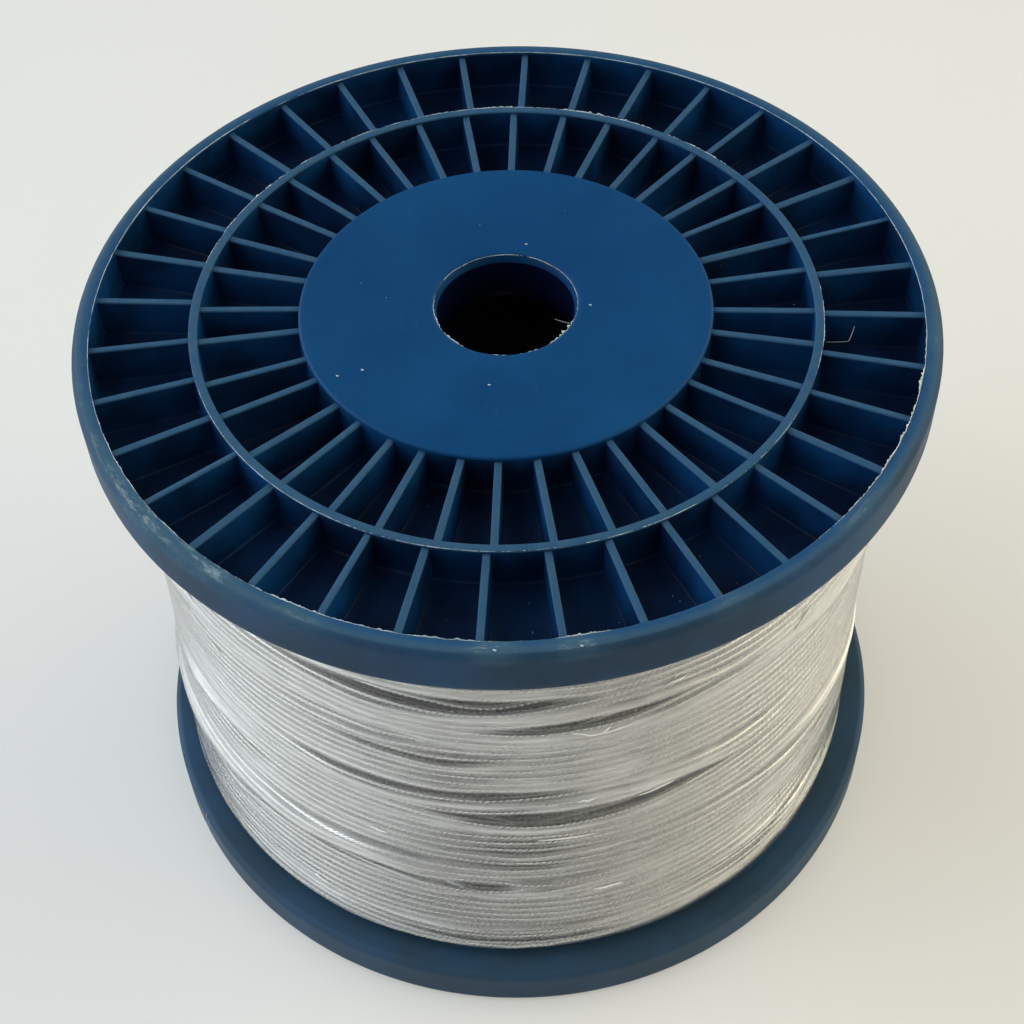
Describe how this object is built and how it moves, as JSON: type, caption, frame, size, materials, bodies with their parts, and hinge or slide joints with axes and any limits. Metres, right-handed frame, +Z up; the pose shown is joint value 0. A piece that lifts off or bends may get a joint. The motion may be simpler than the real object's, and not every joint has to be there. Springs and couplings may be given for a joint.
{
  "type": "string reel",
  "caption": "Moulded blue plastic reel with ribbed flanges and a spindle bore, wound full with fine stranded steel wire under clear stretch film.",
  "frame": {"origin": "centre of the lower flange's resting face", "axes": "+Z up along the reel's spindle axis; +Y the back and -Y the front of the reel as it is seen standing"},
  "size_m": [0.125, 0.125, 0.097],
  "materials": {
    "blue_plastic": "satin moulded plastic with fine scuffs and burrs",
    "steel_wire": "bright drawn steel strand",
    "clear_film": "clear stretch film, slightly milky"
  },
  "bodies": {
    "root": {"upper_flange": "blue_plastic", "lower_flange": "blue_plastic", "barrel": "blue_plastic", "wire_winding": "steel_wire", "stretch_film": "clear_film"}
  },
  "joints": []
}
